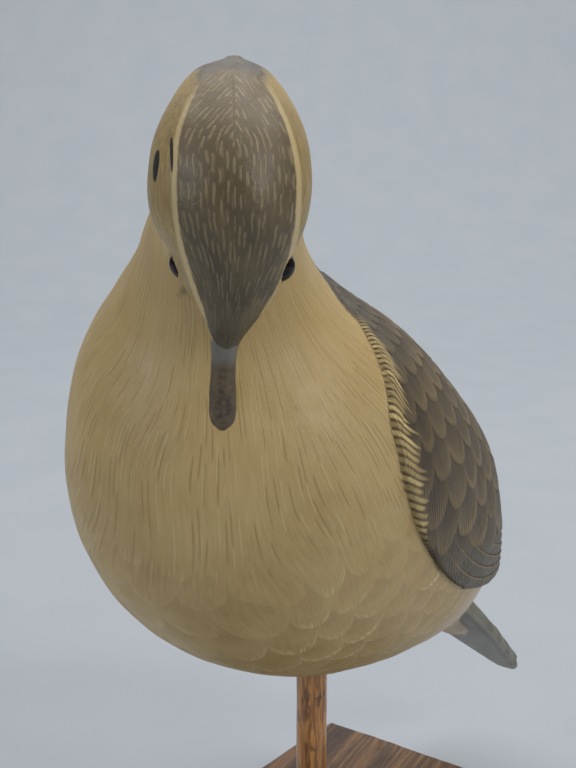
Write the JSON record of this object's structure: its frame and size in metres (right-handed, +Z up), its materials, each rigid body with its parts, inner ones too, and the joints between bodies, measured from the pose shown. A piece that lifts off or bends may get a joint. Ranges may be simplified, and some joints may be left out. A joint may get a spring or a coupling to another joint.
{
  "type": "carved dove figure",
  "caption": "Life-size carved and painted wooden dove looking down over its breast, held above a small rectangular wood base on a round post.",
  "frame": {"origin": "Middle of the underside of the base.", "axes": "+Z is up along the post and is the longest extent. The bird faces -Y with its tail towards +Y. +X is the bird's left side."},
  "size_m": [0.0882, 0.1956, 0.2164],
  "materials": {
    "painted_wood": "tan, olive and taupe paint over carved wood, soft satin",
    "eye_glass": "glossy black bead",
    "post_wood": "mottled caramel-brown stain, satin varnish",
    "base_wood": "walnut brown, satin varnish"
  },
  "bodies": {
    "root": {"dove": "painted_wood", "eye_left": "eye_glass", "eye_right": "eye_glass", "post": "post_wood", "base": "base_wood"}
  },
  "joints": []
}
